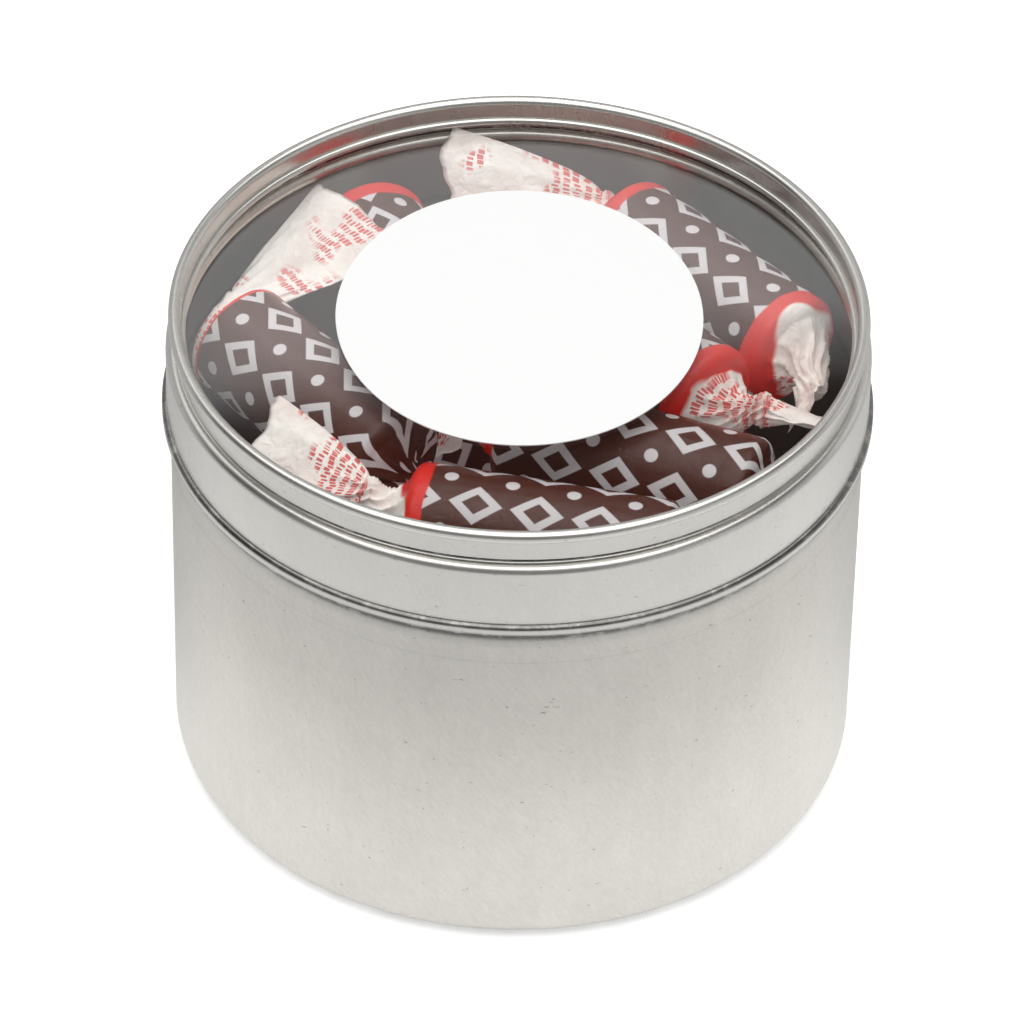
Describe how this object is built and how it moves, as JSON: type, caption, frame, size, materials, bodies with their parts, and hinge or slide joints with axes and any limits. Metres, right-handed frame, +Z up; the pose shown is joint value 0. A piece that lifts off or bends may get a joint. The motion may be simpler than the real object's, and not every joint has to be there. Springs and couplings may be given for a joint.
{
  "type": "window lid tin",
  "caption": "Round tinplate tin with a slip lid, a clear window held in the lid's rim, an oval paper label on the window and a filling of twist-wrapped chews.",
  "frame": {"origin": "bottom centre of the can, on the surface that it stands on", "axes": "+Z up along the can's axis, -Y towards the viewer of the picture, +X to that viewer's right"},
  "size_m": [0.077, 0.077, 0.0578],
  "materials": {
    "can_tinplate": "satin tinplate with faint upright streaks",
    "lid_tinplate": "satin tinplate, bright on the rolled edges",
    "window": "clear, glossy, slightly hazy",
    "label": "smooth white paper",
    "chew": "dull, dense chew",
    "wrapper": "waxed paper, dark with red bands and pale twisted ends"
  },
  "bodies": {
    "can": {"can_body": "can_tinplate", "chew_01": "chew", "chew_02": "chew", "chew_03": "chew", "chew_04": "chew", "chew_05": "chew", "chew_06": "chew", "chew_07": "chew", "chew_08": "chew", "chew_09": "chew", "chew_10": "chew", "chew_11": "chew", "chew_12": "chew", "chew_13": "chew", "chew_14": "chew", "chew_15": "chew", "chew_16": "chew", "chew_17": "chew", "chew_18": "chew", "wrapper_01": "wrapper", "wrapper_02": "wrapper", "wrapper_03": "wrapper", "wrapper_04": "wrapper", "wrapper_05": "wrapper", "wrapper_06": "wrapper", "wrapper_07": "wrapper", "wrapper_08": "wrapper", "wrapper_09": "wrapper", "wrapper_10": "wrapper", "wrapper_11": "wrapper", "wrapper_12": "wrapper", "wrapper_13": "wrapper", "wrapper_14": "wrapper", "wrapper_15": "wrapper", "wrapper_16": "wrapper", "wrapper_17": "wrapper", "wrapper_18": "wrapper"},
    "lid": {"lid_ring": "lid_tinplate", "window_pane": "window", "window_label": "label"}
  },
  "joints": [
    {"name": "lid_lift", "type": "slide", "parent": "can", "child": "lid", "axis": [0, 0, 1], "range_m": [0, 0.045]}
  ]
}
